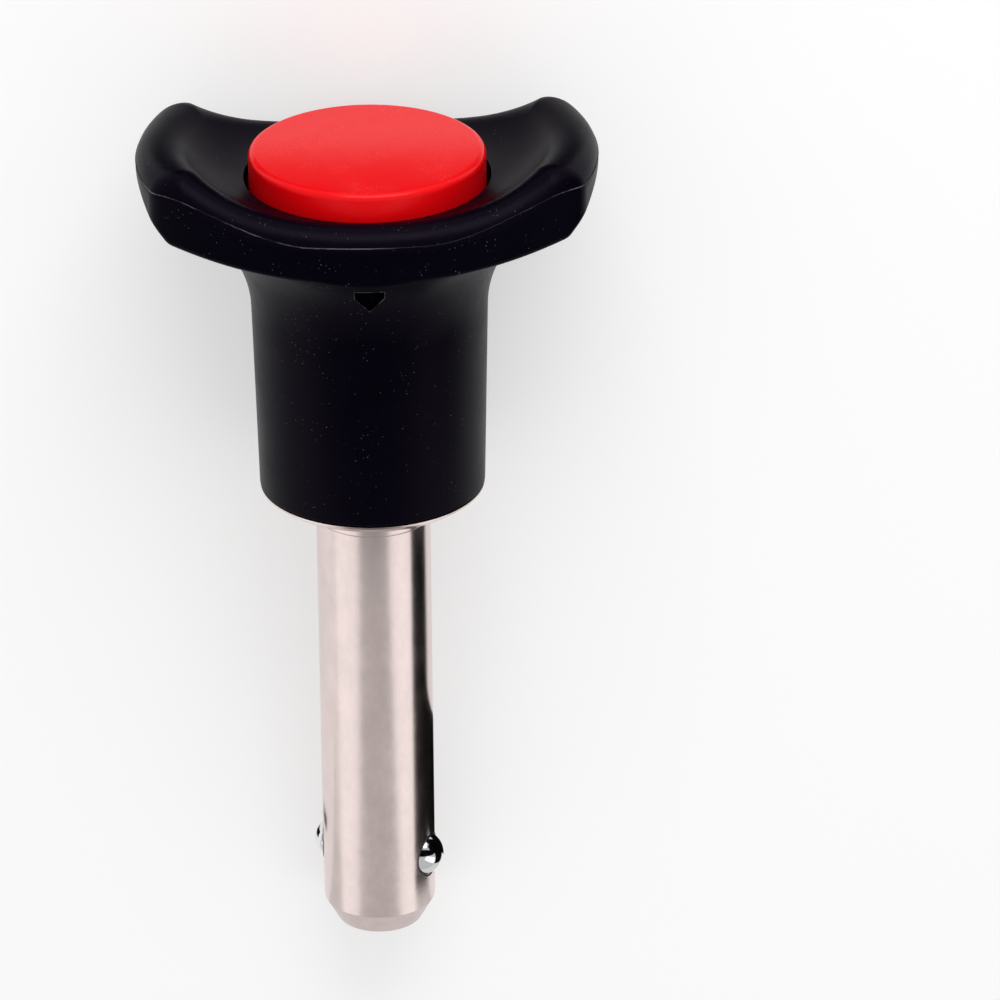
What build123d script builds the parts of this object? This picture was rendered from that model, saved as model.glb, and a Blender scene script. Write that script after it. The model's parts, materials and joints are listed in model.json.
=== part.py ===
from build123d import *
import math
import os

# Ball lock pin: push-button quick-release pin with a winged moulded handle.
#
# Every piece is modelled upright on the pin axis: Z runs from the tip to the button, the bearing face
# of the collar is Z = 0 and the wings lie along X. At the end the whole pin is laid down as it comes to
# rest, on the back of its handle and the rim of its tip, with the origin still at the collar face.

# ---- shank ----
SHANK_R = 6.0            # ground grip diameter 12
GRIP_LENGTH = 40.2       # collar face to the near side of the balls
SHANK_LENGTH = 51.0      # collar face to the tip face
NOSE_DROP = 0.05         # the nose tapers by this much beyond the grip
TIP_CHAMFER_LENGTH = 2.5
TIP_CHAMFER_DEPTH = 1.4
NECK_RELIEF = 0.06       # thread-like undercut beside the collar, depth on the radius
NECK_RELIEF_LENGTH = 3.0
BORE_R = 3.1
BORE_MOUTH_CHAMFER = 0.25
SPRING_POCKET_R = 4.8
SPRING_POCKET_FLOOR = 8.0

# ---- collar and the spigot that the handle is moulded round ----
COLLAR_R = 11.75
COLLAR_THICKNESS = 0.95
COLLAR_CHAMFER_WIDTH = 1.0
COLLAR_CHAMFER_HEIGHT = 0.75
SPIGOT_R = 8.0
SPIGOT_TOP = 24.0
SPIGOT_GROOVE_DEPTH = 0.8
SPIGOT_GROOVE_WIDTH = 1.6
SPIGOT_GROOVE_COUNT = 3

# ---- locking balls ----
BALL_R = 2.38            # 3/16 inch balls
BALL_OUT = 1.3           # how far a ball stands out of the shank, and its travel
BALL_OFFSET = 8.2        # tip face to the ball centres
BALL_AZIMUTH = -23.0     # degrees from +X, towards the front for the right-hand ball
BALL_HOLE_GAP = 0.04
BALL_SEAT_GAP = 0.03
BALL_CONE_GAP = 0.02

# ---- spindle ----
BUTTON_TRAVEL = 4.0
SPINDLE_R = 3.05
SPINDLE_INSET = 0.7      # end face inside the tip
SPINDLE_END_CHAMFER = 0.3
CONE_STEP = 0.25         # between the full diameter and the cone that the balls ride on
CONE_LEAD = 1.0          # length of that step
GROOVE_LENGTH = 2.7
SHOULDER_LENGTH = 7.0
SHOULDER_LEAD = 0.8
ROD_R = 2.5
ROD_LEAD = 0.6           # cone between the shoulder and the rod
ROD_TOP_R = 2.0
ROD_TOP_CHAMFER = 0.4
ROD_TOP_INSET = 0.4      # end of the rod below the inside of the button's top
ROD_TOP_ROOM = 0.1       # left over the rod in its hole
BARB_R = 2.15
BARB_LAND = 0.3
BARB_PITCH = 1.5
BARB_COUNT = 3
BARB_END = 1.0           # plain end above the barbs

# ---- spring, clip, washer and guide bush ----
BUSH_LENGTH = 4.0
BUSH_CLEARANCE = 0.06
CLIP_THICKNESS = 0.7
CLIP_R = 4.2
CLIP_OPENING = 80.0      # degrees
CLIP_GROOVE_DEPTH = 0.5
STOP_GAP = 0.05
WASHER_THICKNESS = 0.5
WASHER_R = 4.5
WASHER_CLEARANCE = 0.1
WIRE_R = 0.4
SPRING_R = 3.95          # to the middle of the wire
SPRING_TURNS = 6.0
SPRING_SEAT_GAP = 0.03    # between each end and what it sits on

# ---- button ----
BUTTON_R = 12.23
BUTTON_RISE = 2.88       # above the flat of the dish
BUTTON_THICKNESS = 3.9
BUTTON_SKIN = 1.8        # the cap is hollow below this
BUTTON_WALL = 1.6
BUTTON_EDGE_R = 0.7
BUTTON_BOSS_R = 4.5
BUTTON_BOSS_DEPTH = 6.2  # below the cap's rim
BUTTON_GAP = 0.5         # round the button in its recess
PRESSED_GAP = 0.2        # left under the button and its boss at full travel

# ---- handle ----
UNDERSIDE_HEIGHT = 29.97 # collar face to the underside of the wings over the axis; the head stands on it
HANDLE_HALF_WIDTH = 23.7
HANDLE_HALF_DEPTH = 15.8
SIDE_ARC_R = 42.0
END_ARC_R = 26.0
PLAN_CORNER_R = 2.6
DISH_RISE = 5.65         # underside to the flat of the dish, round the button
DISH_R = 8.84            # hollow between that flat and the ridge of a wing
RIDGE_RISE = 4.48        # flat of the dish to the ridge
RIDGE_R = 3.01           # rounding of the ridge, which runs on into the outer slope
RIDGE_INSET = 2.8        # end of a wing to its ridge
TOP_EDGE_R = 2.33
WING_FOOT_INSET = 3.43   # end of a wing to where its leaning end meets the arched underside
WING_FOOT_RISE = 2.62    # underside over the axis to that foot
WING_FOOT_R = 1.5
END_LEAN_INSET = 1.35    # a point on the leaning end
END_LEAN_RISE = 2.6      # from the foot
END_TOP_OUT = 0.5        # how far the lean would pass the end of the wing
END_TOP_RISE = 5.4       # from the foot
LOWER_EDGE_R = 0.6
BODY_BOTTOM_R = 11.8
BODY_TOP_R = 12.25
BODY_EDGE_R = 0.4
FLARE_R = 13.0           # of the body's flare out to the wings
FLARE_BACK_DROP = 0.06   # underside to where the flare meets their back and front
FLARE_END_INSET = 0.31   # foot of a wing to the end of the flare, inside the wings
NECK_IN_WINGS = 0.4      # how far the neck's flare runs on inside the wings
CAVITY_R = 9.5
POCKET_WIDTH = 3.0       # small moulded pocket on the front of the neck
POCKET_HEIGHT = 2.9
POCKET_SIDE = 1.0        # straight part of its sides
POCKET_DROP = 0.9        # underside to the pocket
POCKET_DEPTH = 0.7       # at its foot; more above, where the body flares
SEAM_TURN = 45.0         # keeps the start of the turned crown off the wings
STOCK = 5.0              # spare size of blanks and cutters, outside what they leave

# ---- worked out ----
DISH_LOW = UNDERSIDE_HEIGHT + DISH_RISE
RIDGE_TOP = DISH_LOW + RIDGE_RISE
WING_FOOT_X = HANDLE_HALF_WIDTH - WING_FOOT_INSET
WING_FOOT_Z = UNDERSIDE_HEIGHT + WING_FOOT_RISE
BACK_TURN = math.acos(1 - (HANDLE_HALF_DEPTH - BODY_TOP_R) / FLARE_R)   # of the flare, up to the back
BACK_Z = UNDERSIDE_HEIGHT - FLARE_BACK_DROP                             # lower edge of the back
FLARE_LOW = BACK_Z - FLARE_R * math.sin(BACK_TURN)
FLARE_END_R = WING_FOOT_X - FLARE_END_INSET
POCKET_TOP = UNDERSIDE_HEIGHT - POCKET_DROP
TIP_Z = -SHANK_LENGTH
CHAMFER_Z = TIP_Z + TIP_CHAMFER_LENGTH
NOSE_R = SHANK_R - NOSE_DROP
REST_Y = HANDLE_HALF_DEPTH - LOWER_EDGE_R - NOSE_R                      # tip rim to that edge's rounding
REST_Z = BACK_Z + LOWER_EDGE_R * math.tan(BACK_TURN / 2) - CHAMFER_Z
TILT = math.atan2(REST_Y, REST_Z) + math.asin(LOWER_EDGE_R / math.hypot(REST_Y, REST_Z))
BALL_Z = TIP_Z + BALL_OFFSET
BALL_CENTRE_R = SHANK_R + BALL_OUT - BALL_R
CONE_SLOPE = BALL_OUT / BUTTON_TRAVEL
CONE_NORMAL = math.hypot(1, CONE_SLOPE)
CONE_R = BALL_CENTRE_R - (BALL_R + BALL_CONE_GAP) * CONE_NORMAL   # at the ball plane
SPINDLE_END_Z = TIP_Z + SPINDLE_INSET
BUTTON_TOP = DISH_LOW + BUTTON_RISE
BUTTON_BOTTOM = BUTTON_TOP - BUTTON_THICKNESS
RECESS_FLOOR = BUTTON_BOTTOM - BUTTON_TRAVEL - PRESSED_GAP
RECESS_R = BUTTON_R + BUTTON_GAP
BUSH_BOTTOM = SPIGOT_TOP - BUSH_LENGTH
CLIP_TOP = BUSH_BOTTOM - STOP_GAP
CLIP_BOTTOM = CLIP_TOP - CLIP_THICKNESS
WASHER_BOTTOM = CLIP_BOTTOM - WASHER_THICKNESS
BOSS_BOTTOM = BUTTON_BOTTOM - BUTTON_BOSS_DEPTH
SPINDLE_TOP_Z = BUTTON_TOP - BUTTON_SKIN - ROD_TOP_INSET


def turned(points):
    """A solid of revolution about the pin axis from (radius, height) points."""
    outline = make_face(Plane.XZ * Polyline(*points, close=True))
    return revolve(outline, Axis.Z)


def disc(radius, low, high):
    """A cylinder on the pin axis between two heights."""
    return Pos(0, 0, (low + high) / 2) * Cylinder(radius, high - low)


def ball_direction(side):
    """Unit direction of one ball from the axis; side is 1 for the right-hand ball and -1 for the other."""
    turn = math.radians(BALL_AZIMUTH)
    return Vector(side * math.cos(turn), side * math.sin(turn), 0)


def ball_hole(side):
    """A drilling from the bore that ends in a spherical seat, which holds the ball in."""
    way = ball_direction(side)
    centre = way * BALL_CENTRE_R + Vector(0, 0, BALL_Z)
    drilling = Plane(origin=Vector(0, 0, BALL_Z), z_dir=way) * Pos(0, 0, BALL_CENTRE_R / 2) * Cylinder(
        BALL_R + BALL_HOLE_GAP, BALL_CENTRE_R)
    return drilling + Pos(*centre) * Sphere(BALL_R + BALL_SEAT_GAP)


def make_shank():
    grooves_room = SPIGOT_TOP - COLLAR_THICKNESS
    pitch = grooves_room / (SPIGOT_GROOVE_COUNT + 1)
    body = turned([
        (BORE_R, SPRING_POCKET_FLOOR),
        (BORE_R, TIP_Z + BORE_MOUTH_CHAMFER),
        (BORE_R + BORE_MOUTH_CHAMFER, TIP_Z),
        (NOSE_R - TIP_CHAMFER_DEPTH, TIP_Z),
        (NOSE_R, CHAMFER_Z),
        (SHANK_R, -GRIP_LENGTH),
        (SHANK_R, -NECK_RELIEF_LENGTH),
        (SHANK_R - NECK_RELIEF, -NECK_RELIEF_LENGTH + NECK_RELIEF),
        (SHANK_R - NECK_RELIEF, 0),
        (COLLAR_R - COLLAR_CHAMFER_WIDTH, 0),
        (COLLAR_R, COLLAR_CHAMFER_HEIGHT),
        (COLLAR_R, COLLAR_THICKNESS),
        (SPIGOT_R, COLLAR_THICKNESS),
        (SPIGOT_R, SPIGOT_TOP),
        (SPRING_POCKET_R, SPIGOT_TOP),
        (SPRING_POCKET_R, SPRING_POCKET_FLOOR),
    ])
    for number in range(1, SPIGOT_GROOVE_COUNT + 1):
        body -= spigot_groove(COLLAR_THICKNESS + number * pitch)
    for side in (1, -1):
        body -= ball_hole(side)
    return body


def spigot_groove(height):
    """The ring that the moulding fills to hold the spigot."""
    low, high = height - SPIGOT_GROOVE_WIDTH / 2, height + SPIGOT_GROOVE_WIDTH / 2
    return disc(SPIGOT_R + STOCK, low, high) - disc(SPIGOT_R - SPIGOT_GROOVE_DEPTH, low, high)


def make_ball(side):
    return Pos(*(ball_direction(side) * BALL_CENTRE_R + Vector(0, 0, BALL_Z))) * Sphere(BALL_R)


def make_spindle():
    """Land and cone that hold the balls out, the groove that lets them in, shoulder, rod and barbed end."""
    groove_r = CONE_R - CONE_SLOPE * BUTTON_TRAVEL
    groove_low = BALL_Z + BUTTON_TRAVEL
    shoulder_low = groove_low + GROOVE_LENGTH
    shoulder_top = shoulder_low + SHOULDER_LENGTH
    cone_top_r = SPINDLE_R - CONE_STEP
    cone_low = BALL_Z - (cone_top_r - CONE_R) / CONE_SLOPE
    clip_groove_r = ROD_R - CLIP_GROOVE_DEPTH
    points = [
        (0, SPINDLE_END_Z),
        (SPINDLE_R - SPINDLE_END_CHAMFER, SPINDLE_END_Z),
        (SPINDLE_R, SPINDLE_END_Z + SPINDLE_END_CHAMFER),
        (SPINDLE_R, cone_low - CONE_LEAD),
        (cone_top_r, cone_low),
        (groove_r, groove_low),
        (groove_r, shoulder_low - SHOULDER_LEAD / 2),
        (SPINDLE_R, shoulder_low + SHOULDER_LEAD / 2),
        (SPINDLE_R, shoulder_top),
        (ROD_R, shoulder_top + ROD_LEAD),
        (ROD_R, CLIP_BOTTOM),
        (clip_groove_r, CLIP_BOTTOM),
        (clip_groove_r, CLIP_TOP),
        (ROD_R, CLIP_TOP),
        (ROD_R, BOSS_BOTTOM),
        (ROD_TOP_R, BOSS_BOTTOM),
    ]
    barbs_low = SPINDLE_TOP_Z - BARB_END - BARB_COUNT * BARB_PITCH
    for number in range(BARB_COUNT):
        low = barbs_low + number * BARB_PITCH
        top = low + BARB_LAND
        points += [(ROD_TOP_R, low), (BARB_R, low), (BARB_R, top), (ROD_TOP_R, top + BARB_PITCH / 2)]
    chamfer_r = ROD_TOP_R - ROD_TOP_CHAMFER
    points += [(ROD_TOP_R, SPINDLE_TOP_Z - ROD_TOP_CHAMFER), (chamfer_r, SPINDLE_TOP_Z), (0, SPINDLE_TOP_Z)]
    return turned(points)


def make_guide_bush():
    return disc(SPRING_POCKET_R, BUSH_BOTTOM, SPIGOT_TOP) - disc(ROD_R + BUSH_CLEARANCE, BUSH_BOTTOM, SPIGOT_TOP)


def make_clip():
    """A snap ring in the spindle's groove, open on the back."""
    ring = disc(CLIP_R, CLIP_BOTTOM, CLIP_TOP) - disc(ROD_R - CLIP_GROOVE_DEPTH, CLIP_BOTTOM, CLIP_TOP)
    half = math.radians(CLIP_OPENING / 2)
    reach = 2 * CLIP_R
    mouth = make_face(Polyline((0, 0), (-reach * math.sin(half), reach * math.cos(half)),
                               (reach * math.sin(half), reach * math.cos(half)), close=True))
    return ring - Pos(0, 0, CLIP_BOTTOM) * extrude(mouth, CLIP_THICKNESS)


def make_washer():
    return disc(WASHER_R, WASHER_BOTTOM, CLIP_BOTTOM) - disc(ROD_R + WASHER_CLEARANCE, WASHER_BOTTOM, CLIP_BOTTOM)


def make_spring():
    """A compression spring with plain ends, between the pocket's floor and the washer."""
    end = WIRE_R + SPRING_SEAT_GAP
    height = WASHER_BOTTOM - SPRING_POCKET_FLOOR - 2 * end
    path = Helix(height / SPRING_TURNS, height, SPRING_R)
    wire = Plane(origin=path @ 0, z_dir=path % 0) * Circle(WIRE_R)
    return Pos(0, 0, SPRING_POCKET_FLOOR + end) * sweep(wire, path=path, is_frenet=True)


def make_button():
    """A hollow red cap with a rounded rim and a boss that the spindle's barbs hold in."""
    cap = disc(BUTTON_R, BUTTON_BOTTOM, BUTTON_TOP)
    cap = fillet(cap.edges().sort_by(Axis.Z)[-1], BUTTON_EDGE_R)
    inner = BUTTON_TOP - BUTTON_SKIN
    cap -= disc(BUTTON_R - BUTTON_WALL, BUTTON_BOTTOM, inner)
    cap += disc(BUTTON_BOSS_R, BOSS_BOTTOM, inner)
    return cap - disc(BARB_R, BOSS_BOTTOM, SPINDLE_TOP_Z + ROD_TOP_ROOM)


def handle_plan():
    """The outline from above: two long arcs, two end arcs and rounded corners."""
    side = SIDE_ARC_R - HANDLE_HALF_DEPTH
    end = END_ARC_R - HANDLE_HALF_WIDTH
    outline = (Pos(0, side) * Circle(SIDE_ARC_R)) & (Pos(0, -side) * Circle(SIDE_ARC_R))
    outline = outline & (Pos(end, 0) * Circle(END_ARC_R)) & (Pos(-end, 0) * Circle(END_ARC_R))
    corners = outline.vertices().filter_by(lambda v: abs(v.Y) > HANDLE_HALF_DEPTH / 4)
    corners = corners.filter_by(lambda v: abs(v.X) > HANDLE_HALF_WIDTH / 2)
    return fillet(corners, PLAN_CORNER_R)


def mirrored(points):
    return [(-x, z) for x, z in points]


def handle_profile():
    """The outline from the front, open at the top: leaning ends and an arched underside."""
    wide, tall = HANDLE_HALF_WIDTH + STOCK, RIDGE_TOP + STOCK
    top = (HANDLE_HALF_WIDTH + END_TOP_OUT, WING_FOOT_Z + END_TOP_RISE)
    lean = (HANDLE_HALF_WIDTH - END_LEAN_INSET, WING_FOOT_Z + END_LEAN_RISE)
    right = [top, lean, (WING_FOOT_X, WING_FOOT_Z)]
    left = mirrored(right)
    outline = Curve([
        Polyline(left[0], (-wide, top[1]), (-wide, tall), (wide, tall), (wide, top[1]), right[0]),
        ThreePointArc(*right),
        ThreePointArc(right[2], (0, UNDERSIDE_HEIGHT), left[2]),
        ThreePointArc(*reversed(left)),
    ])
    face = make_face(Plane.XZ * outline)
    feet = face.vertices().filter_by(lambda v: abs(v.Z - WING_FOOT_Z) < 1e-3)
    return fillet(feet, WING_FOOT_R)


def make_crown():
    """The shape of the top, turned: a dish, flat round the button, that rolls over a ridge to an outer slope."""
    dish_z, ridge_z = DISH_LOW + DISH_R, RIDGE_TOP - RIDGE_R
    ridge_r = HANDLE_HALF_WIDTH - RIDGE_INSET
    flat_r = ridge_r - math.sqrt((DISH_R + RIDGE_R)**2 - (dish_z - ridge_z)**2)
    share = DISH_R / (DISH_R + RIDGE_R)
    join = (flat_r + (ridge_r - flat_r) * share, dish_z - (dish_z - ridge_z) * share)
    half_way = math.asin((join[0] - flat_r) / DISH_R) / 2
    in_dish = (flat_r + DISH_R * math.sin(half_way), dish_z - DISH_R * math.cos(half_way))
    on_ridge = (ridge_r, RIDGE_TOP)
    out = (ridge_r + RIDGE_R, ridge_z)
    outline = Curve([
        Polyline((0, DISH_LOW), (flat_r, DISH_LOW)),
        ThreePointArc((flat_r, DISH_LOW), in_dish, join),
        ThreePointArc(join, on_ridge, out),
        Polyline(out, (out[0], 0), (0, 0), (0, DISH_LOW)),
    ])
    return Rot(0, 0, SEAM_TURN) * revolve(make_face(Plane.XZ * outline), Axis.Z)


def flare_radius(z):
    """Radius of the body at a height on its flare."""
    return BODY_TOP_R + FLARE_R - math.sqrt(FLARE_R**2 - (z - FLARE_LOW)**2)


def wall_depth(x):
    """Half the depth of the wings at a distance from the axis along X."""
    return HANDLE_HALF_DEPTH - SIDE_ARC_R + math.sqrt(SIDE_ARC_R**2 - x**2)


def along_y(edge):
    run = edge @ 1 - edge @ 0
    return edge.geom_type == GeomType.LINE and abs(run.X) + abs(run.Z) < 1e-6


def upright(edge):
    run = edge @ 1 - edge @ 0
    return abs(run.X) + abs(run.Y) < 1e-6


def rim_edges(blank, low, high):
    """The sharp edges on the walls of the plan whose ends and middle lie between two heights."""
    chosen = []
    for edge in blank.edges():
        if edge.geom_type == GeomType.CIRCLE or along_y(edge) or upright(edge):
            continue
        points = [edge @ share for share in (0, 0.5, 1)]
        inside = abs(points[1].X) < WING_FOOT_X and abs(points[1].Y) < wall_depth(points[1].X) - LOWER_EDGE_R
        if not inside and low < min(p.Z for p in points) and max(p.Z for p in points) < high:
            chosen.append(edge)
    return chosen


def make_neck(plan):
    """The round body under the wings, which flares out to meet them and is cut off at their walls."""
    reach = math.acos(1 - (FLARE_END_R - BODY_TOP_R) / FLARE_R)
    end = (FLARE_END_R, FLARE_LOW + FLARE_R * math.sin(reach))
    half_way = (BODY_TOP_R + FLARE_R * (1 - math.cos(reach / 2)), FLARE_LOW + FLARE_R * math.sin(reach / 2))
    top = max(end[1], WING_FOOT_Z) + NECK_IN_WINGS
    outline = Curve([
        Polyline((0, top), (0, COLLAR_THICKNESS), (BODY_BOTTOM_R, COLLAR_THICKNESS), (BODY_TOP_R, FLARE_LOW)),
        ThreePointArc((BODY_TOP_R, FLARE_LOW), half_way, end),
        Polyline(end, (end[0], top), (0, top)),
    ])
    neck = revolve(make_face(Plane.XZ * outline), Axis.Z) & plan
    return fillet(rim_edges(neck, FLARE_LOW, top - NECK_IN_WINGS / 2), LOWER_EDGE_R)


def make_wings(plan):
    """The wings, trimmed to the plan and the crown, with their upper and lower edges rounded."""
    front = extrude(handle_profile(), HANDLE_HALF_DEPTH + STOCK, both=True)
    wings = plan & front & make_crown()
    middle = WING_FOOT_Z + END_LEAN_RISE
    wings = fillet(rim_edges(wings, FLARE_LOW, middle), LOWER_EDGE_R)
    upper = [edge for edge in rim_edges(wings, middle, RIDGE_TOP + STOCK)
             if max((edge @ share).Z for share in (0, 0.5, 1)) > WING_FOOT_Z + END_TOP_RISE]
    return fillet(upper, TOP_EDGE_R)


def moulded_pocket():
    """A small blind pocket with a flat top and a pointed foot, on the front under the wings."""
    half, side = POCKET_WIDTH / 2, POCKET_TOP - POCKET_SIDE
    outline = Polyline((-half, POCKET_TOP), (half, POCKET_TOP), (half, side), (0, POCKET_TOP - POCKET_HEIGHT),
                       (-half, side), close=True)
    floor = flare_radius(POCKET_TOP - POCKET_HEIGHT) - POCKET_DEPTH
    return extrude(make_face(Plane.XZ.offset(floor) * outline), HANDLE_HALF_DEPTH - floor, dir=(0, -1, 0))


def make_handle():
    """Winged plastic body: dished wings on a slightly tapered round body, moulded on the spigot."""
    plan = extrude(handle_plan(), RIDGE_TOP + STOCK)
    body = make_wings(plan) + make_neck(plan)
    body = fillet(body.edges().sort_by(Axis.Z)[0], BODY_EDGE_R)
    body -= disc(RECESS_R, RECESS_FLOOR, RIDGE_TOP)
    body -= disc(CAVITY_R, SPIGOT_TOP, RECESS_FLOOR)
    spigot = disc(SPIGOT_R, COLLAR_THICKNESS, SPIGOT_TOP)
    pitch = (SPIGOT_TOP - COLLAR_THICKNESS) / (SPIGOT_GROOVE_COUNT + 1)
    for number in range(1, SPIGOT_GROOVE_COUNT + 1):
        spigot -= spigot_groove(COLLAR_THICKNESS + number * pitch)
    return body - spigot - moulded_pocket()


def lay_down(piece):
    """Turn the upright pin to the way it lies: tip rim and the back of the wings on one plane."""
    lying = Plane(origin=(0, 0, 0), x_dir=(1, 0, 0), z_dir=(0, math.cos(TILT), math.sin(TILT)))
    return lying.location * piece


def main():
    pieces = {
        "shank": make_shank(),
        "handle": make_handle(),
        "guide_bush": make_guide_bush(),
        "button": make_button(),
        "spindle": make_spindle(),
        "retaining_clip": make_clip(),
        "spring_washer": make_washer(),
        "spring": make_spring(),
        "locking_ball_right": make_ball(1),
        "locking_ball_left": make_ball(-1),
    }
    os.makedirs("parts", exist_ok=True)
    for node, piece in pieces.items():
        export_step(lay_down(piece), f"parts/{node}.step")


if __name__ == "__main__":
    main()
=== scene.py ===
import json
import math
import bpy
from mathutils import Matrix, Vector


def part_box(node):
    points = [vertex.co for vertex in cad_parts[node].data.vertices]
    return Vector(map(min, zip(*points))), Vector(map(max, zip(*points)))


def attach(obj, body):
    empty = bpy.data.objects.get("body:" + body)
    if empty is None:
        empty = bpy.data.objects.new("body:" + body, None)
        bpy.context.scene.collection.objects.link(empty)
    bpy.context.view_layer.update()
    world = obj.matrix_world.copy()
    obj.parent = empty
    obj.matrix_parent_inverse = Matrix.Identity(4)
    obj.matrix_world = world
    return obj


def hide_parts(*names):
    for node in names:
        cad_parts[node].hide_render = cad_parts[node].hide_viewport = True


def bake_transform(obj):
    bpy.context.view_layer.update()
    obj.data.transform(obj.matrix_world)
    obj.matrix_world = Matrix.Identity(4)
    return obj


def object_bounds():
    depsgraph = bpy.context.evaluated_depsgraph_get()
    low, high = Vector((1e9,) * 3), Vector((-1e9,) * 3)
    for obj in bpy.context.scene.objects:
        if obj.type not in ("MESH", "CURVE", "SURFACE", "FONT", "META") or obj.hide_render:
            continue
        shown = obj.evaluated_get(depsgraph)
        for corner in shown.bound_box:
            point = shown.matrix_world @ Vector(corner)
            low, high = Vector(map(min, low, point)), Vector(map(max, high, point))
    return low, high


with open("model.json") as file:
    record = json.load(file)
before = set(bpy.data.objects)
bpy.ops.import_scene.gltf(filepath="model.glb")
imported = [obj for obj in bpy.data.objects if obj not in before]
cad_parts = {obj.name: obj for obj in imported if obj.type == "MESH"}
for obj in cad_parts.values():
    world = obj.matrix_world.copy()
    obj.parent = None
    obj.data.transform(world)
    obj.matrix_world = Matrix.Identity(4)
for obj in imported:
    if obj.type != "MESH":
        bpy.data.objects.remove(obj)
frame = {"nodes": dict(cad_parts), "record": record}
cad_box = [list(corner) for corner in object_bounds()]
nodes = frame["nodes"]

# A ball lock pin: its finishes, the marks that the mould and the punch left on it, its working
# spring, and the floor, light and camera round it. Lengths are in mm unless a line says otherwise.

MM = 0.001
# The pin lies tilted: AXIS runs from its tip to its button, and FRONT is the side that faces up.
AXIS = -Vector(frame["record"]["mounts"][0]["axis"])
FRONT = Vector((0, -AXIS.z, AXIS.y))
TILT = math.atan2(AXIS.z, AXIS.y)
UPRIGHT_TURN = (math.pi / 2 - TILT, 0, 0)    # turns the pin's axis to a pattern's Z
# LYING takes the upright pin to the way it lies.
LYING = Matrix(((1, 0, 0), -FRONT, AXIS)).transposed().to_4x4()

# ---------------------------------------------------------------- sizes, tones and places

STEELS = {                   # each turned steel's tone, roughness and strength of its lathe rings
    "stainless_steel": ((0.79, 0.67, 0.645), 0.21, 0.35),
    "spindle_steel": ((0.30, 0.26, 0.23), 0.40, 0.6),
    "spring_steel": ((0.50, 0.49, 0.48), 0.30, 0.1),
    # the stake rings' near-black tone is painted shade of the gap round each ball
    "stake_painted_shade_steel": ((0.10, 0.085, 0.085), 0.35, 0.1),
}
CLOUD_DARK, CLOUD_LIGHT = 0.80, 1.14         # how far the clouds take a steel from its tone
CLOUDS_ACROSS, CLOUDS_ALONG = 0.5, 0.3       # clouds in each mm, drawn out along the pin
RINGS_PER_MM = 7.0
GRAIN_PER_MM = 9
MARK_DEPTH = 0.012                           # of the rings and of the grain
BALL_DARK, BALL_LIGHT = (0.78, 0.78, 0.79), (0.86, 0.86, 0.87)
HAZE_PER_MM = 1.2                            # on the balls
DUST = (0.35, 0.33, 0.34)
DUST_PER_MM = 2.2
SHADES_PER_MM = 0.18                         # the plastic's faint clouds
SKIN_PER_MM = 6
SKIN_DEPTH = 0.02
TORN_DARK, TORN_PALE = (0.006, 0.005, 0.008), (0.13, 0.12, 0.135)

# The line where the mould parts runs level over the body and rises to the wings' ends.
SEAM_LOW = 34.28             # above the collar's face, over the axis
SEAM_RISE = 3.8              # from there to the wings' ends
SEAM_LEVEL_X = 6
SEAM_END_X = 22
SEAM_START_R = 27.5          # the sheet that gives the line its height reaches this far out
SEAM_INSET = 0.5             # and the line starts this far inside the sheet's edge
SEAM_SQUASH = 0.673          # the wings' depth to their width
SEAM_CLEAR = 0.4             # how far off the handle the line is wrapped before it is laid on it
SEAM_POINTS = 360
SEAM_SHEET_CUTS = (120, 2)   # along the wings and across them
SEAM_BEAD_R = 0.06
SEAM_PATCHES = 0.14          # torn patches in each mm
SEAM_FAINT_X = 9             # where the mould shut tightly, to the right of the axis
SEAM_FAINT_R = 6.0           # the line is faint up to this far from there
SEAM_FULL_R = 10.0           # and full from this far on
SEAM_FAINTEST = 0.05

# The moulded pocket's edge: a pointed foot, two sides and a flat top.
POCKET_HALF = 1.5
POCKET_TOP = 29.09
POCKET_SIDE = 28.05
POCKET_FOOT = 26.10
POCKET_EDGE_OUT = 0.04       # the flash stands this far outside the pocket
POCKET_AWAY = 20             # where the edge starts, in front of the handle
POCKET_CUTS = 8              # of each side, so that it follows the curved wall
POCKET_BEAD_R = 0.03
POCKET_PATCHES = 0.7

# The rings round the ball holes: raised like the lip punched round each hole, and near black as
# painted shade of the gap round the ball.
STAKE_R = 2.40               # just outside the hole
STAKE_START = 1.25           # out from the ball's centre, above the shank
STAKE_POINTS = 64
STAKE_BEAD_R = 0.09

BEAD_ROUNDNESS = 2           # of a bead's section
WELD = 0.001                 # points closer than this are one point

FLOOR_SIZE = 6               # m
FLOOR_TONE = 0.60
FLOOR_LIFT = 0.455           # what the floor gives to the eye and to gloss, beyond what falls on it
WORLD_LIGHT = 0.56           # the world as light and in reflections
WORLD_SEEN = 1.0             # and to the eye, where 1 is white
SOFTBOXES = {                # place, width and length in m, and watts
    "softbox_left": ((-0.40, -0.25, 0.30), 0.26, 0.70, 0.34),
    "softbox_right": ((0.39, -0.25, 0.32), 0.26, 0.70, 0.36),
    "softbox_top": ((0.05, 0.45, 0.26), 0.40, 0.30, 1.35),
}
CARD_TONE = 0.004
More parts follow.
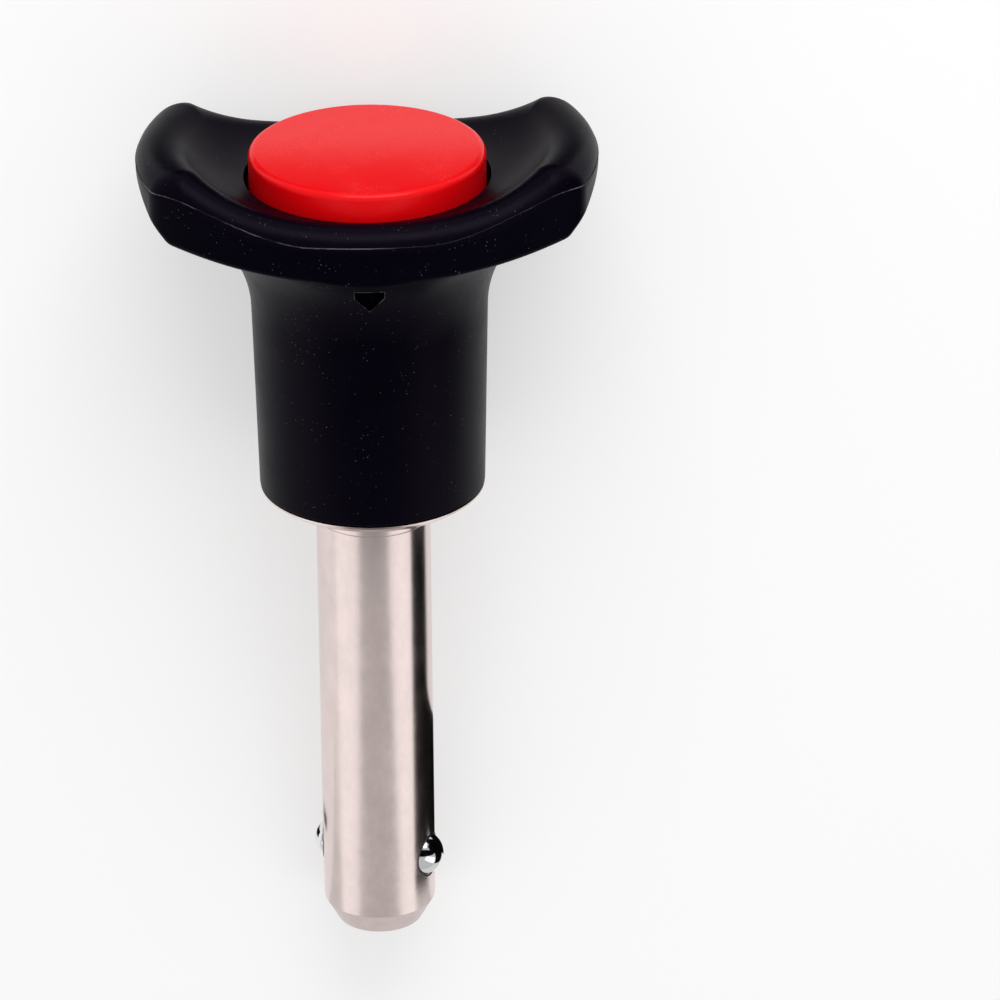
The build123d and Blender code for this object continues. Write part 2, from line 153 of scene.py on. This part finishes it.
# The first two give the shank its dark stripe, the next three show in the balls, the sixth on the
# button's top and the last in the chamfer of the tip.
CARDS = {                    # how much each card gives back, and its corners on the upright pin
    "shank_card": (0, [(18, -7.4, -54), (18, 7.6, -54), (18, -6.8, -8), (18, 7.0, -8)]),
    "low_card": (0, [(6.5, 5.5, -47.5), (20, 5.5, -47.5), (6.5, 7.4, -31), (20, 7.4, -31)]),
    "front_card": (0, [(-150, -80, -36), (150, -80, -36), (-150, -80, 25), (150, -80, 25)]),
    "right_card": (0, [(100, -80, -36), (100, 15, -36), (100, -80, 90), (100, 15, 90)]),
    "left_card": (0, [(-9.5, 2, -43.1), (-9.5, 7, -43.1), (-9.5, 2, -41.2), (-9.5, 7, -41.2)]),
    "button_card": (0, [(-30, 13, 44.5), (30, 13, 44.5), (-30, 13, 80), (30, 13, 80)]),
    "tip_card": (0.70, [(-60, 4.9, -54), (60, 4.9, -54), (-60, -30, -130), (60, -30, -130)]),
}
CAMERA_TILT = math.radians(26.2)     # how far the view looks down past square to the pin
CAMERA_ROLL = math.radians(-1.01)
CAMERA_AWAY = 700
CAMERA_LENS = 239.45
CAMERA_SENSOR = 36
WATCHED = (0, 0, -5)                 # the point of the pin that the view is set by,
WATCHED_OFFSET = (13.30, 3.105)      # and how far right of it and above it the view is centred

MIX_FIRST, MIX_SECOND, MIX_RESULT = 6, 7, 2  # the colour sockets of a Mix node


def at(x, y, z):
    """A point on the upright pin: x to its right, y to its back, z towards the button."""
    return (Vector((x, 0, 0)) - y * FRONT + z * AXIS) * MM


def colour(red, green, blue):
    return (red, green, blue, 1.0)


def grey(tone):
    return colour(tone, tone, tone)


# ---------------------------------------------------------------- node helpers

class Finish:
    """A material and short ways to add and join its nodes."""

    def __init__(self, name):
        self.material = bpy.data.materials.new(name)
        self.material.use_nodes = True
        self.tree = self.material.node_tree
        self.tree.nodes.clear()
        output = self.add("ShaderNodeOutputMaterial")
        self.shader = self.add("ShaderNodeBsdfPrincipled")
        self.link(self.shader.outputs[0], output.inputs["Surface"])

    def add(self, kind, **settings):
        node = self.tree.nodes.new(kind)
        for key, value in settings.items():
            setattr(node, key, value)
        return node

    def link(self, source, target):
        self.tree.links.new(source, target)

    def give(self, socket, value):
        if isinstance(value, bpy.types.NodeSocket):
            self.link(value, socket)
        else:
            socket.default_value = value

    def set(self, **sockets):
        """Give the shader's sockets, named with _ for each space, a value or a pattern."""
        for name, value in sockets.items():
            self.give(self.shader.inputs[name.replace("_", " ")], value)

    def coordinates(self, per_mm=(1, 1, 1), upright=False):
        """Object coordinates, turned upright where the pattern follows the pin."""
        source = self.add("ShaderNodeTexCoord").outputs["Object"]
        if upright:
            turn = self.add("ShaderNodeMapping")
            turn.inputs["Rotation"].default_value = UPRIGHT_TURN
            self.link(source, turn.inputs["Vector"])
            source = turn.outputs[0]
        stretch = self.add("ShaderNodeMapping")
        stretch.inputs["Scale"].default_value = [scale / MM for scale in per_mm]
        self.link(source, stretch.inputs["Vector"])
        return stretch.outputs[0]

    def noise(self, across, along=None, detail=2.0, roughness=0.5):
        """Noise, so many times in each mm. Where along is given, it follows the upright pin."""
        node = self.add("ShaderNodeTexNoise")
        node.inputs["Scale"].default_value = 1.0
        node.inputs["Detail"].default_value = detail
        node.inputs["Roughness"].default_value = roughness
        upright = along is not None
        per_mm = (across, across, along if upright else across)
        self.link(self.coordinates(per_mm, upright), node.inputs["Vector"])
        return node.outputs[0]

    def math(self, operation, first, second=0.5, clamp=False):
        node = self.add("ShaderNodeMath", operation=operation, use_clamp=clamp)
        self.give(node.inputs[0], first)
        self.give(node.inputs[1], second)
        return node.outputs[0]

    def spread(self, value, low, high, to_low=0.0, to_high=1.0):
        """Stretch a pattern from low..high to to_low..to_high, and hold it there outside them."""
        node = self.add("ShaderNodeMapRange")
        self.give(node.inputs["Value"], value)
        node.inputs["From Min"].default_value = low
        node.inputs["From Max"].default_value = high
        node.inputs["To Min"].default_value = to_low
        node.inputs["To Max"].default_value = to_high
        return node.outputs[0]

    def mix(self, factor, first, second):
        node = self.add("ShaderNodeMix", data_type="RGBA")
        self.give(node.inputs["Factor"], factor)
        self.give(node.inputs[MIX_FIRST], first)
        self.give(node.inputs[MIX_SECOND], second)
        return node.outputs[MIX_RESULT]

    def bump(self, height, strength, depth, over=None):
        """Raise a pattern by a depth in mm, over another bump where one is given."""
        node = self.add("ShaderNodeBump")
        node.inputs["Strength"].default_value = strength
        node.inputs["Distance"].default_value = depth * MM
        self.link(height, node.inputs["Height"])
        if over is not None:
            self.link(over, node.inputs["Normal"])
        return node.outputs[0]

    def split(self, upright=False):
        """The three coordinates, in mm."""
        parts = self.add("ShaderNodeSeparateXYZ")
        self.link(self.coordinates(upright=upright), parts.inputs[0])
        return parts.outputs

    def around(self):
        """Distance from the pin's axis and height along it, in mm."""
        x, y, z = self.split(upright=True)
        across = self.math("POWER", x, 2.0)
        deep = self.math("POWER", y, 2.0)
        return self.math("SQRT", self.math("ADD", across, deep)), z


# ---------------------------------------------------------------- finishes

def turned_steel(name, tone, roughness, rings):
    """Steel off a lathe: rings round the axis, on walls and faces alike, under a fine grain."""
    steel = Finish(name)
    radius, height = steel.around()
    section = steel.add("ShaderNodeCombineXYZ")
    steel.link(radius, section.inputs[0])
    steel.link(height, section.inputs[2])
    tool_marks = steel.add("ShaderNodeTexNoise")
    tool_marks.inputs["Scale"].default_value = RINGS_PER_MM
    tool_marks.inputs["Detail"].default_value = 3.0
    steel.link(section.outputs[0], tool_marks.inputs["Vector"])
    grain = steel.noise(GRAIN_PER_MM)
    cloud = steel.noise(CLOUDS_ACROSS, along=CLOUDS_ALONG, detail=6.0, roughness=0.65)
    dark = [CLOUD_DARK * part for part in tone]
    light = [min(1, CLOUD_LIGHT * part) for part in tone]
    uneven = steel.math("ADD", cloud, grain)
    ground = steel.bump(grain, strength=0.12, depth=MARK_DEPTH)
    steel.set(
        Base_Color=steel.mix(cloud, colour(*dark), colour(*light)),
        Roughness=steel.spread(uneven, 0.6, 1.4, roughness - 0.05, roughness + 0.07),
        Metallic=1.0,
        Normal=steel.bump(tool_marks.outputs[0], strength=rings, depth=MARK_DEPTH, over=ground))
    return steel.material


def moulded_plastic(name, deep, pale, roughness, gloss, tint, dusty):
    """Moulded plastic: faint cloudiness, a fine skin and a few pale specks of dust."""
    plastic = Finish(name)
    shade = plastic.noise(SHADES_PER_MM, detail=3.0)
    body = plastic.mix(shade, colour(*deep), colour(*pale))
    dots = plastic.add("ShaderNodeTexVoronoi", feature="F1")
    dots.inputs["Scale"].default_value = 1.0
    plastic.link(plastic.coordinates([DUST_PER_MM] * 3), dots.inputs["Vector"])
    near = plastic.spread(dots.outputs["Distance"], 0.05, 0.16, 1.0, 0.0)
    few = plastic.spread(plastic.noise(0.45, detail=4.0, roughness=0.7), 0.50, 0.62)
    specks = plastic.math("MULTIPLY", plastic.math("MULTIPLY", near, few), dusty, clamp=True)
    skin = plastic.noise(SKIN_PER_MM, detail=3.0)
    uneven = plastic.math("ADD", skin, shade)
    plastic.set(
        Base_Color=plastic.mix(specks, body, colour(*DUST)),
        Roughness=plastic.spread(uneven, 0.7, 1.3, roughness - 0.05, roughness + 0.06),
        Specular_IOR_Level=gloss,
        Specular_Tint=colour(*tint),
        Normal=plastic.bump(skin, strength=0.45, depth=SKIN_DEPTH))
    return plastic.material


def flash_plastic(name, patches, faint_x=None):
    """Torn edge of black plastic: pale where it stands out, with gaps where it broke away clean.

    Round faint_x, to the right of the axis, the mould shut tightly and left it faint.
    """
    flash = Finish(name)
    torn = flash.spread(flash.noise(patches, detail=5.0, roughness=0.75), 0.43, 0.60)
    if faint_x is not None:
        away = flash.math("ABSOLUTE", flash.math("SUBTRACT", flash.split()[0], faint_x))
        fullness = flash.spread(away, SEAM_FAINT_R, SEAM_FULL_R, to_low=SEAM_FAINTEST)
        torn = flash.math("MULTIPLY", torn, fullness)
    flash.set(
        Base_Color=flash.mix(torn, colour(*TORN_DARK), colour(*TORN_PALE)),
        Roughness=0.55,
        Specular_IOR_Level=0.1,
        Normal=flash.bump(flash.noise(5), strength=0.6, depth=0.03))
    return flash.material


def polished_ball(name):
    """A hardened ball, polished and a little hazy."""
    ball = Finish(name)
    haze = ball.noise(HAZE_PER_MM)
    ball.set(
        Base_Color=ball.mix(haze, colour(*BALL_DARK), colour(*BALL_LIGHT)),
        Roughness=ball.spread(haze, 0.3, 0.7, 0.05, 0.12),
        Metallic=1.0)
    return ball.material


def paint(node, material):
    """Give a node of the frame its finish."""
    mesh = nodes[node].data
    mesh.materials.clear()
    mesh.materials.append(material)


steels = {name: turned_steel(name, *finish) for name, finish in STEELS.items()}
for turned in ("shank", "guide_bush", "spring_washer"):
    paint(turned, steels["stainless_steel"])
paint("spindle", steels["spindle_steel"])
for wire in ("spring", "retaining_clip"):
    paint(wire, steels["spring_steel"])
ball_steel = polished_ball("ball_steel")
for ball in ("locking_ball_right", "locking_ball_left"):
    paint(ball, ball_steel)
paint("handle", moulded_plastic(
    "black_plastic", deep=(0.0008, 0.0004, 0.0030), pale=(0.0016, 0.0009, 0.0048),
    roughness=0.36, gloss=0.05, tint=(0.95, 0.75, 1.0), dusty=0.35))
paint("button", moulded_plastic(
    "red_plastic", deep=(0.92, 0.001, 0.004), pale=(0.95, 0.003, 0.006),
    roughness=0.24, gloss=0.18, tint=(1, 1, 1), dusty=0.04))


# ---------------------------------------------------------------- beads on the handle and the shank

def add_modifier(piece, kind, **settings):
    """Add one modifier and apply it."""
    modifier = piece.modifiers.new(kind.lower(), kind)
    for key, value in settings.items():
        setattr(modifier, key, value)
    bpy.context.view_layer.objects.active = piece
    bpy.ops.object.modifier_apply(modifier=modifier.name)


def lay_on(line, node, clear=0.0):
    """Bring a line to the nearest place on a node, or so far off it."""
    add_modifier(line, "SHRINKWRAP", target=nodes[node], offset=clear * MM)


def throw_onto(line, node):
    """Move a line along its own Z, downwards, until it meets a node."""
    add_modifier(line, "SHRINKWRAP", target=nodes[node], wrap_method="PROJECT", use_project_z=True,
                 use_negative_direction=True, use_positive_direction=False)


def make_loop(name, points, radius, squash=1, height=0):
    """A flat loop of edges round the upright axis, ready to be wrapped onto a piece."""
    bpy.ops.object.select_all(action="DESELECT")
    bpy.ops.mesh.primitive_circle_add(vertices=points, radius=radius * MM)
    loop = bpy.context.active_object
    loop.name = name
    bpy.ops.object.mode_set(mode="EDIT")
    bpy.ops.transform.resize(value=(1, squash, 1))
    bpy.ops.transform.translate(value=(0, 0, height * MM))
    bpy.ops.object.mode_set(mode="OBJECT")
    return loop


def bead(line, radius, material):
    """Turn a closed line on a piece into a fine round bead that moves with the pin's body."""
    name = line.name
    line.data.transform(line.matrix_world)
    line.matrix_world = Matrix.Identity(4)
    bpy.ops.object.convert(target="CURVE")
    line = bpy.context.active_object
    line.data.bevel_depth = radius * MM
    line.data.bevel_resolution = BEAD_ROUNDNESS
    bpy.ops.object.convert(target="MESH")
    line = bpy.context.active_object
    line.name = name
    bpy.ops.object.shade_smooth()
    line.data.materials.clear()
    line.data.materials.append(material)
    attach(line, "body")


def seam_height(x):
    """Where the mould parts, over the collar's face."""
    along = min(1, max(0, (abs(x) - SEAM_LEVEL_X) / (SEAM_END_X - SEAM_LEVEL_X)))
    return SEAM_LOW + SEAM_RISE * along * along * (3 - 2 * along)


def make_parting_line():
    """The fine raised line that the two halves of the mould left round the wings."""
    bpy.ops.object.select_all(action="DESELECT")
    along, across = SEAM_SHEET_CUTS
    bpy.ops.mesh.primitive_grid_add(x_subdivisions=along, y_subdivisions=across, size=2)
    sheet = bpy.context.active_object
    for vertex in sheet.data.vertices:
        x, y = vertex.co.x * SEAM_START_R, vertex.co.y * SEAM_START_R
        vertex.co = Vector((x, y, seam_height(x))) * MM
    sheet.matrix_world = LYING
    line = make_loop("parting_line", SEAM_POINTS, SEAM_START_R - SEAM_INSET, SEAM_SQUASH, SEAM_LOW)
    line.matrix_world = LYING
    bpy.context.view_layer.update()
    onto_sheet = dict(target=sheet, wrap_method="PROJECT", use_project_z=True,
                      use_negative_direction=True, use_positive_direction=True)
    add_modifier(line, "SHRINKWRAP", **onto_sheet)
    lay_on(line, "handle", clear=SEAM_CLEAR)
    add_modifier(line, "SHRINKWRAP", **onto_sheet)
    lay_on(line, "handle")
    bpy.data.objects.remove(sheet)
    finish = flash_plastic("flash_plastic", SEAM_PATCHES, SEAM_FAINT_X)
    bead(line, SEAM_BEAD_R, finish)


def make_pocket_edge():
    """Flash round the small moulded pocket on the front of the neck."""
    half = POCKET_HALF + POCKET_EDGE_OUT
    outline = [(-half, POCKET_SIDE), (-half, POCKET_TOP), (half, POCKET_TOP), (half, POCKET_SIDE),
               (0, POCKET_FOOT)]
    edge = make_loop("pocket_edge", len(outline), POCKET_HALF)
    for vertex, (x, z) in zip(edge.data.vertices, outline):
        vertex.co = Vector((x, z, 0)) * MM
    bpy.ops.object.mode_set(mode="EDIT")
    bpy.ops.mesh.select_all(action="SELECT")
    bpy.ops.mesh.subdivide(number_cuts=POCKET_CUTS)
    bpy.ops.object.mode_set(mode="OBJECT")
    in_front = Matrix.Translation((0, -POCKET_AWAY * MM, 0))
    edge.matrix_world = LYING @ in_front @ Matrix.Rotation(math.pi / 2, 4, "X")
    bpy.context.view_layer.update()
    throw_onto(edge, "handle")
    bead(edge, POCKET_BEAD_R, flash_plastic("pocket_flash", POCKET_PATCHES))


def make_stake_ring_with_painted_shade(name, ball):
    """A raised ring round a ball's hole, like the punched lip that keeps the ball in, near black as
    painted shade of the gap round the ball.
    """
    low, high = [Vector(corner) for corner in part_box(ball)]
    centre = (low + high) / 2
    out = (centre - centre.dot(AXIS) * AXIS).normalized()
    ring = make_loop(name, STAKE_POINTS, STAKE_R)
    above = Matrix.Translation(centre + STAKE_START * MM * out)
    ring.matrix_world = above @ out.to_track_quat("Z", "Y").to_matrix().to_4x4()
    bpy.context.view_layer.update()
    throw_onto(ring, "shank")
    lay_on(ring, "shank")
    bead(ring, STAKE_BEAD_R, steels["stake_painted_shade_steel"])


# ---------------------------------------------------------------- the spring

def make_working_spring():
    """A copy of the return spring, with its doubled points welded, in place of the spring itself.
    """
    spring = nodes["spring"].copy()
    spring.data = spring.data.copy()
    spring.name = "working_spring"
    bpy.context.scene.collection.objects.link(spring)
    spring.parent = None
    spring.matrix_world = nodes["spring"].matrix_world
    bpy.ops.object.select_all(action="DESELECT")
    spring.select_set(True)
    bpy.context.view_layer.objects.active = spring
    bpy.ops.object.mode_set(mode="EDIT")
    bpy.ops.mesh.select_all(action="SELECT")
    bpy.ops.mesh.remove_doubles(threshold=WELD * MM)
    bpy.ops.object.mode_set(mode="OBJECT")
    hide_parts("spring")
    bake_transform(spring)


# ---------------------------------------------------------------- floor, light and camera

def make_floor():
    """A pale floor under the pin, which keeps the pin's shadow."""
    bpy.ops.object.select_all(action="DESELECT")
    bpy.ops.mesh.primitive_plane_add(size=FLOOR_SIZE, location=(0, 0, cad_box[0][2]))
    floor = bpy.context.active_object
    floor.name = "floor"
    floor.data.transform(floor.matrix_world)
    floor.matrix_world = Matrix.Identity(4)
    paper = Finish("floor_paper")
    path = paper.add("ShaderNodeLightPath").outputs
    seen = paper.math("ADD", path["Is Camera Ray"], path["Is Glossy Ray"], clamp=True)
    seen = paper.math("ADD", seen, path["Is Transmission Ray"], clamp=True)
    paper.set(
        Base_Color=grey(FLOOR_TONE),
        Roughness=0.9,
        Specular_IOR_Level=0.0,
        Emission_Color=grey(1),
        Emission_Strength=paper.math("MULTIPLY", seen, FLOOR_LIFT))
    floor.data.materials.append(paper.material)


def make_card(name, tone, corners):
    """A black or grey card beside the pin that only glossy surfaces show."""
    bpy.ops.object.select_all(action="DESELECT")
    bpy.ops.mesh.primitive_plane_add(size=1)
    card = bpy.context.active_object
    card.name = name
    for vertex, corner in zip(card.data.vertices, corners):
        vertex.co = at(*corner)
    paper = Finish(name)
    paper.set(
        Base_Color=grey(CARD_TONE),
        Specular_IOR_Level=0.0,
        Emission_Color=grey(1),
        Emission_Strength=tone)
    card.data.materials.append(paper.material)
    card.visible_camera = card.visible_diffuse = card.visible_shadow = False


def make_softbox(name, place, width, length, watts):
    """A rectangular lamp aimed at the pin."""
    data = bpy.data.lights.new(name, "AREA")
    data.shape = "RECTANGLE"
    data.size, data.size_y, data.energy = width, length, watts
    lamp = bpy.data.objects.new(name, data)
    bpy.context.scene.collection.objects.link(lamp)
    lamp.location = place
    lamp.rotation_mode = "QUATERNION"
    lamp.rotation_quaternion = (-Vector(place)).to_track_quat("-Z", "Y")


def make_world():
    """White to the eye, and grey as light and in reflections."""
    world = bpy.data.worlds.new("studio")
    bpy.context.scene.world = world
    world.use_nodes = True
    tree = world.node_tree
    tree.nodes.clear()
    output = tree.nodes.new("ShaderNodeOutputWorld")
    choose = tree.nodes.new("ShaderNodeMixShader")
    path = tree.nodes.new("ShaderNodeLightPath")
    tree.links.new(path.outputs["Is Camera Ray"], choose.inputs[0])
    for socket, strength in ((1, WORLD_LIGHT), (2, WORLD_SEEN)):
        sky = tree.nodes.new("ShaderNodeBackground")
        sky.inputs["Color"].default_value = grey(1)
        sky.inputs["Strength"].default_value = strength
        tree.links.new(sky.outputs[0], choose.inputs[socket])
    tree.links.new(choose.outputs[0], output.inputs[0])


def make_camera():
    """A long lens in front of the pin, looking down at it."""
    sine, cosine = math.sin(CAMERA_TILT), math.cos(CAMERA_TILT)
    right = at(1, 0, 0).normalized()
    up = at(0, sine, cosine).normalized()
    forward = at(0, cosine, -sine).normalized()
    sine, cosine = math.sin(CAMERA_ROLL), math.cos(CAMERA_ROLL)
    right, up = cosine * right + sine * up, cosine * up - sine * right
    watched = at(*WATCHED)
    place = watched - forward * CAMERA_AWAY * MM
    aim = watched + (WATCHED_OFFSET[0] * right + WATCHED_OFFSET[1] * up) * MM
    back = (place - aim).normalized()
    side = (right - right.dot(back) * back).normalized()
    turn = Matrix((side, back.cross(side), back)).transposed().to_4x4()
    data = bpy.data.cameras.new("camera")
    data.sensor_width, data.lens = CAMERA_SENSOR, CAMERA_LENS
    camera = bpy.data.objects.new("camera", data)
    bpy.context.scene.collection.objects.link(camera)
    camera.matrix_world = Matrix.Translation(place) @ turn
    bpy.context.scene.camera = camera


make_parting_line()
make_pocket_edge()
# near-black rings round the balls: raised lips, with painted shade of the gap round each ball
make_stake_ring_with_painted_shade("stake_ring_painted_shade_right", "locking_ball_right")
make_stake_ring_with_painted_shade("stake_ring_painted_shade_left", "locking_ball_left")
make_working_spring()
make_floor()
make_world()
for name, softbox in SOFTBOXES.items():
    make_softbox(name, *softbox)
for name, card in CARDS.items():
    make_card(name, *card)
make_camera()
bpy.context.scene.view_settings.view_transform = "Standard"
